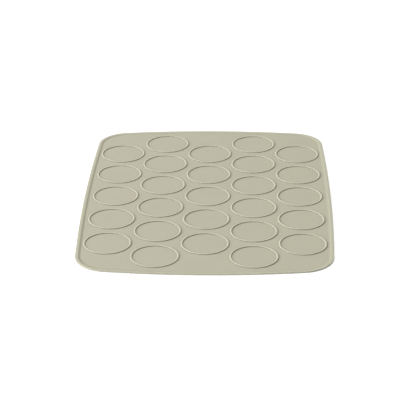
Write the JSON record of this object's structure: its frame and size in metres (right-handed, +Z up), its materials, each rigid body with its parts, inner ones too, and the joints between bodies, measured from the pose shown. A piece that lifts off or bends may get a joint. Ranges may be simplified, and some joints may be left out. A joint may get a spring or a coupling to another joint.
{
  "type": "baking mat",
  "caption": "Thin flat silicone baking mat with bowed sides, round corners, a raised bead round its edge and staggered columns of raised rings for piping macarons.",
  "frame": {"origin": "middle of the underside, on the surface that the mat lies on", "axes": "+Y along the mat's length, away from the viewer, +X across it to the right, +Z up"},
  "size_m": [0.2808, 0.3856, 0.0015],
  "materials": {
    "silicone": "satin"
  },
  "bodies": {
    "root": {"base_sheet": "silicone", "rim_bead": "silicone", "piping_ring_c1_r1": "silicone", "piping_ring_c1_r2": "silicone", "piping_ring_c1_r3": "silicone", "piping_ring_c1_r4": "silicone", "piping_ring_c1_r5": "silicone", "piping_ring_c2_r1": "silicone", "piping_ring_c2_r2": "silicone", "piping_ring_c2_r3": "silicone", "piping_ring_c2_r4": "silicone", "piping_ring_c2_r5": "silicone", "piping_ring_c2_r6": "silicone", "piping_ring_c3_r1": "silicone", "piping_ring_c3_r2": "silicone", "piping_ring_c3_r3": "silicone", "piping_ring_c3_r4": "silicone", "piping_ring_c3_r5": "silicone", "piping_ring_c4_r1": "silicone", "piping_ring_c4_r2": "silicone", "piping_ring_c4_r3": "silicone", "piping_ring_c4_r4": "silicone", "piping_ring_c4_r5": "silicone", "piping_ring_c4_r6": "silicone", "piping_ring_c5_r1": "silicone", "piping_ring_c5_r2": "silicone", "piping_ring_c5_r3": "silicone", "piping_ring_c5_r4": "silicone", "piping_ring_c5_r5": "silicone"}
  },
  "joints": []
}
